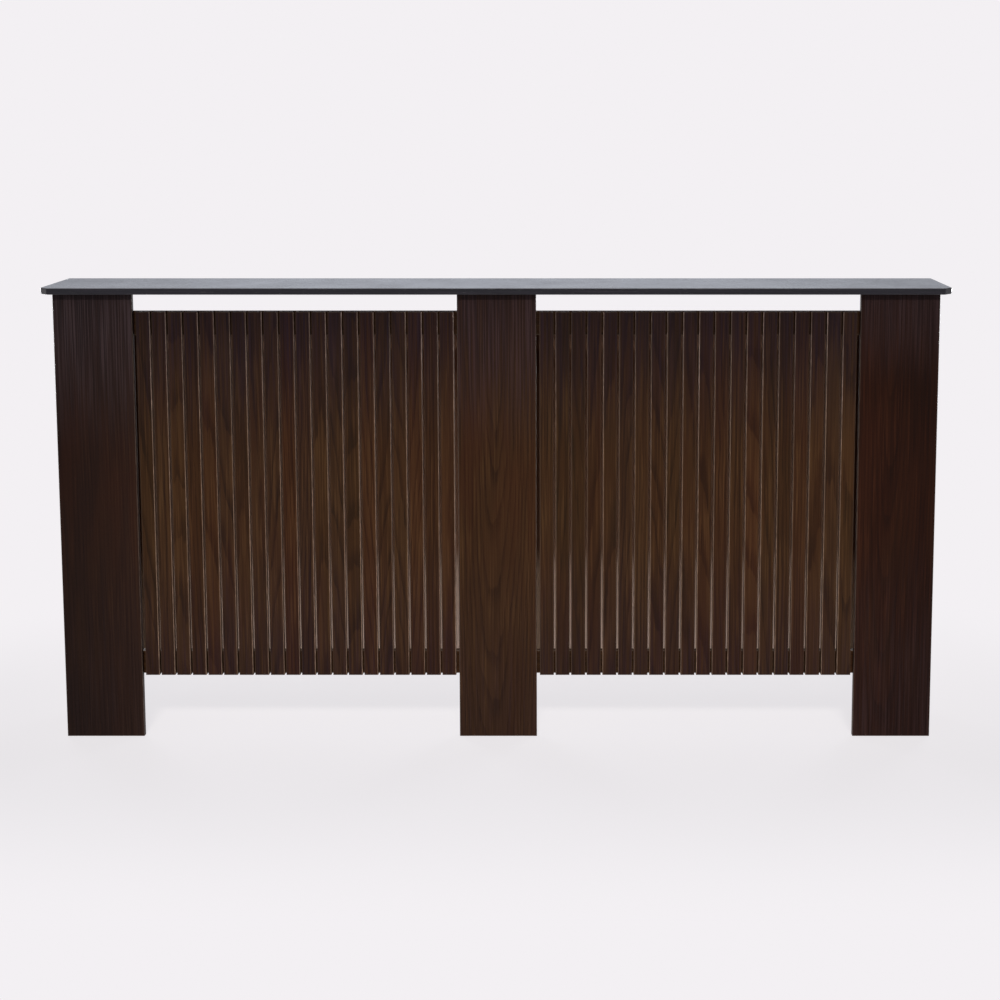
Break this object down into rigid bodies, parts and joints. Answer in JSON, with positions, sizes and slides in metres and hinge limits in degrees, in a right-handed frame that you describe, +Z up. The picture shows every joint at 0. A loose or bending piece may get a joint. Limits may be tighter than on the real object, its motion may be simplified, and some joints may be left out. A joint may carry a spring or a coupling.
{
  "type": "radiator cover cabinet",
  "caption": "Slatted wooden radiator cover: a thin shelf on full-height front boards and side panels, with upright slats between them, open at the back and over and under the slats.",
  "frame": {"origin": "on the floor, under the middle of the shelf: the bottom centre of the bounding box", "axes": "+X to the right seen from the front, +Y to the wall behind, +Z up; the front faces -Y"},
  "size_m": [1.72, 0.19, 0.88],
  "materials": {
    "walnut_veneer": "dark walnut stained oak veneer, satin lacquer",
    "hidden_softwood": "bare planed softwood strip",
    "beech_dowel": "bare beech",
    "zinc_plated_steel": "bright zinc plate",
    "zinc_screw": "zinc plate, slightly yellow"
  },
  "bodies": {
    "root": {"back_batten": "hidden_softwood", "batten_screws": "zinc_screw", "bracket_screws": "zinc_screw", "centre_stile": "walnut_veneer", "cleat_screws": "zinc_screw", "left_bottom_rail": "walnut_veneer", "left_corner_cleat": "hidden_softwood", "left_side_panel": "walnut_veneer", "left_slat_01": "walnut_veneer", "left_slat_02": "walnut_veneer", "left_slat_03": "walnut_veneer", "left_slat_04": "walnut_veneer", "left_slat_05": "walnut_veneer", "left_slat_06": "walnut_veneer", "left_slat_07": "walnut_veneer", "left_slat_08": "walnut_veneer", "left_slat_09": "walnut_veneer", "left_slat_10": "walnut_veneer", "left_slat_11": "walnut_veneer", "left_slat_12": "walnut_veneer", "left_slat_13": "walnut_veneer", "left_slat_14": "walnut_veneer", "left_slat_15": "walnut_veneer", "left_slat_16": "walnut_veneer", "left_slat_17": "walnut_veneer", "left_slat_18": "walnut_veneer", "left_slat_19": "walnut_veneer", "left_slat_20": "walnut_veneer", "left_stile": "walnut_veneer", "left_top_rail": "walnut_veneer", "panel_screws": "zinc_screw", "right_bottom_rail": "walnut_veneer", "right_corner_cleat": "hidden_softwood", "right_side_panel": "walnut_veneer", "right_slat_01": "walnut_veneer", "right_slat_02": "walnut_veneer", "right_slat_03": "walnut_veneer", "right_slat_04": "walnut_veneer", "right_slat_05": "walnut_veneer", "right_slat_06": "walnut_veneer", "right_slat_07": "walnut_veneer", "right_slat_08": "walnut_veneer", "right_slat_09": "walnut_veneer", "right_slat_10": "walnut_veneer", "right_slat_11": "walnut_veneer", "right_slat_12": "walnut_veneer", "right_slat_13": "walnut_veneer", "right_slat_14": "walnut_veneer", "right_slat_15": "walnut_veneer", "right_slat_16": "walnut_veneer", "right_slat_17": "walnut_veneer", "right_slat_18": "walnut_veneer", "right_slat_19": "walnut_veneer", "right_slat_20": "walnut_veneer", "right_stile": "walnut_veneer", "right_top_rail": "walnut_veneer", "shelf_brackets": "zinc_plated_steel", "shelf_dowels": "beech_dowel", "top_shelf": "walnut_veneer", "wall_brackets": "zinc_plated_steel"}
  },
  "joints": []
}
